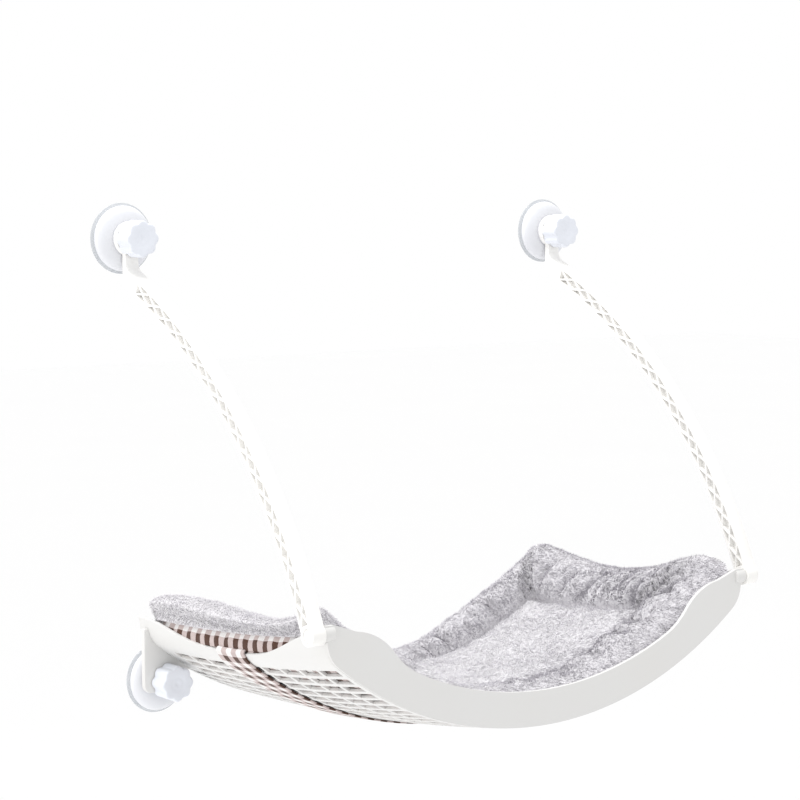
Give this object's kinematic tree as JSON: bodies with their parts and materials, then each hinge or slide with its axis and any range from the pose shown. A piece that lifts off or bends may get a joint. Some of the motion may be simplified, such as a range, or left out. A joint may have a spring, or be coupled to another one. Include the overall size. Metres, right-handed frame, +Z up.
{
  "type": "window mounted cat perch",
  "caption": "Window cat perch: a slotted cradle tray with a plush cushion, hung from suction cups on bowed, trussed swing arms.",
  "frame": {"origin": "on the glass, midway between the studs of the two lower suction cups", "axes": "+Y into the glass, so the room lies toward -Y; +X along the glass to the viewer's right; +Z up"},
  "size_m": [0.6, 0.3235, 0.5137],
  "materials": {
    "white_plastic": "satin moulded plastic",
    "clear_vinyl": "clear soft vinyl",
    "steel": "zinc plated",
    "grey_plush": "long pile plush",
    "check_cotton": "brown and white check cotton"
  },
  "bodies": {
    "perch": {"tray": "white_plastic", "cushion_check_base": "check_cotton", "cushion_plush_top": "grey_plush", "cushion_strap": "check_cotton", "pivot_pin_left": "white_plastic", "pivot_pin_right": "white_plastic", "suction_cup_lower_left": "clear_vinyl", "cup_cover_lower_left": "white_plastic", "stud_lower_left": "steel", "suction_cup_lower_right": "clear_vinyl", "cup_cover_lower_right": "white_plastic", "stud_lower_right": "steel"},
    "left_arm": {"support_arm_left": "white_plastic", "suction_cup_upper_left": "clear_vinyl", "cup_cover_upper_left": "white_plastic", "stud_upper_left": "steel"},
    "right_arm": {"support_arm_right": "white_plastic", "suction_cup_upper_right": "clear_vinyl", "cup_cover_upper_right": "white_plastic", "stud_upper_right": "steel"},
    "washer_upper_left": {"washer_upper_left": "steel"},
    "knob_upper_left": {"star_knob_upper_left": "white_plastic", "knob_nut_upper_left": "steel"},
    "washer_upper_right": {"washer_upper_right": "steel"},
    "knob_upper_right": {"star_knob_upper_right": "white_plastic", "knob_nut_upper_right": "steel"},
    "washer_lower_left": {"washer_lower_left": "steel"},
    "knob_lower_left": {"star_knob_lower_left": "white_plastic", "knob_nut_lower_left": "steel"},
    "washer_lower_right": {"washer_lower_right": "steel"},
    "knob_lower_right": {"star_knob_lower_right": "white_plastic", "knob_nut_lower_right": "steel"}
  },
  "joints": [
    {"name": "left_arm_pivot", "type": "hinge", "parent": "perch", "child": "left_arm", "pos_m": [-0.266, -0.314, 0.091], "axis": [1, 0, 0], "range_deg": [0, 220]},
    {"name": "right_arm_pivot", "type": "hinge", "parent": "perch", "child": "right_arm", "pos_m": [0.266, -0.314, 0.091], "axis": [1, 0, 0], "range_deg": [0, 220]},
    {"name": "knob_travel_upper_left", "type": "slide", "parent": "left_arm", "child": "washer_upper_left", "axis": [0, -1, 0], "range_m": [0, 0.004]},
    {"name": "knob_spin_upper_left", "type": "hinge", "parent": "washer_upper_left", "child": "knob_upper_left", "pos_m": [-0.266, -0.0312, 0.431], "axis": [0, -1, 0], "range_deg": [0, 1440]},
    {"name": "knob_travel_upper_right", "type": "slide", "parent": "right_arm", "child": "washer_upper_right", "axis": [0, -1, 0], "range_m": [0, 0.004]},
    {"name": "knob_spin_upper_right", "type": "hinge", "parent": "washer_upper_right", "child": "knob_upper_right", "pos_m": [0.266, -0.0312, 0.431], "axis": [0, -1, 0], "range_deg": [0, 1440]},
    {"name": "knob_travel_lower_left", "type": "slide", "parent": "perch", "child": "washer_lower_left", "axis": [0, -1, 0], "range_m": [0, 0.004]},
    {"name": "knob_spin_lower_left", "type": "hinge", "parent": "washer_lower_left", "child": "knob_lower_left", "pos_m": [-0.233, -0.0312, 0], "axis": [0, -1, 0], "range_deg": [0, 1440]},
    {"name": "knob_travel_lower_right", "type": "slide", "parent": "perch", "child": "washer_lower_right", "axis": [0, -1, 0], "range_m": [0, 0.004]},
    {"name": "knob_spin_lower_right", "type": "hinge", "parent": "washer_lower_right", "child": "knob_lower_right", "pos_m": [0.233, -0.0312, 0], "axis": [0, -1, 0], "range_deg": [0, 1440]}
  ],
  "couplings": [
    {"joint": "knob_travel_upper_left", "follows": "knob_spin_upper_left", "m_per_rad": 0.000159},
    {"joint": "knob_travel_upper_right", "follows": "knob_spin_upper_right", "m_per_rad": 0.000159},
    {"joint": "knob_travel_lower_left", "follows": "knob_spin_lower_left", "m_per_rad": 0.000159},
    {"joint": "knob_travel_lower_right", "follows": "knob_spin_lower_right", "m_per_rad": 0.000159}
  ]
}
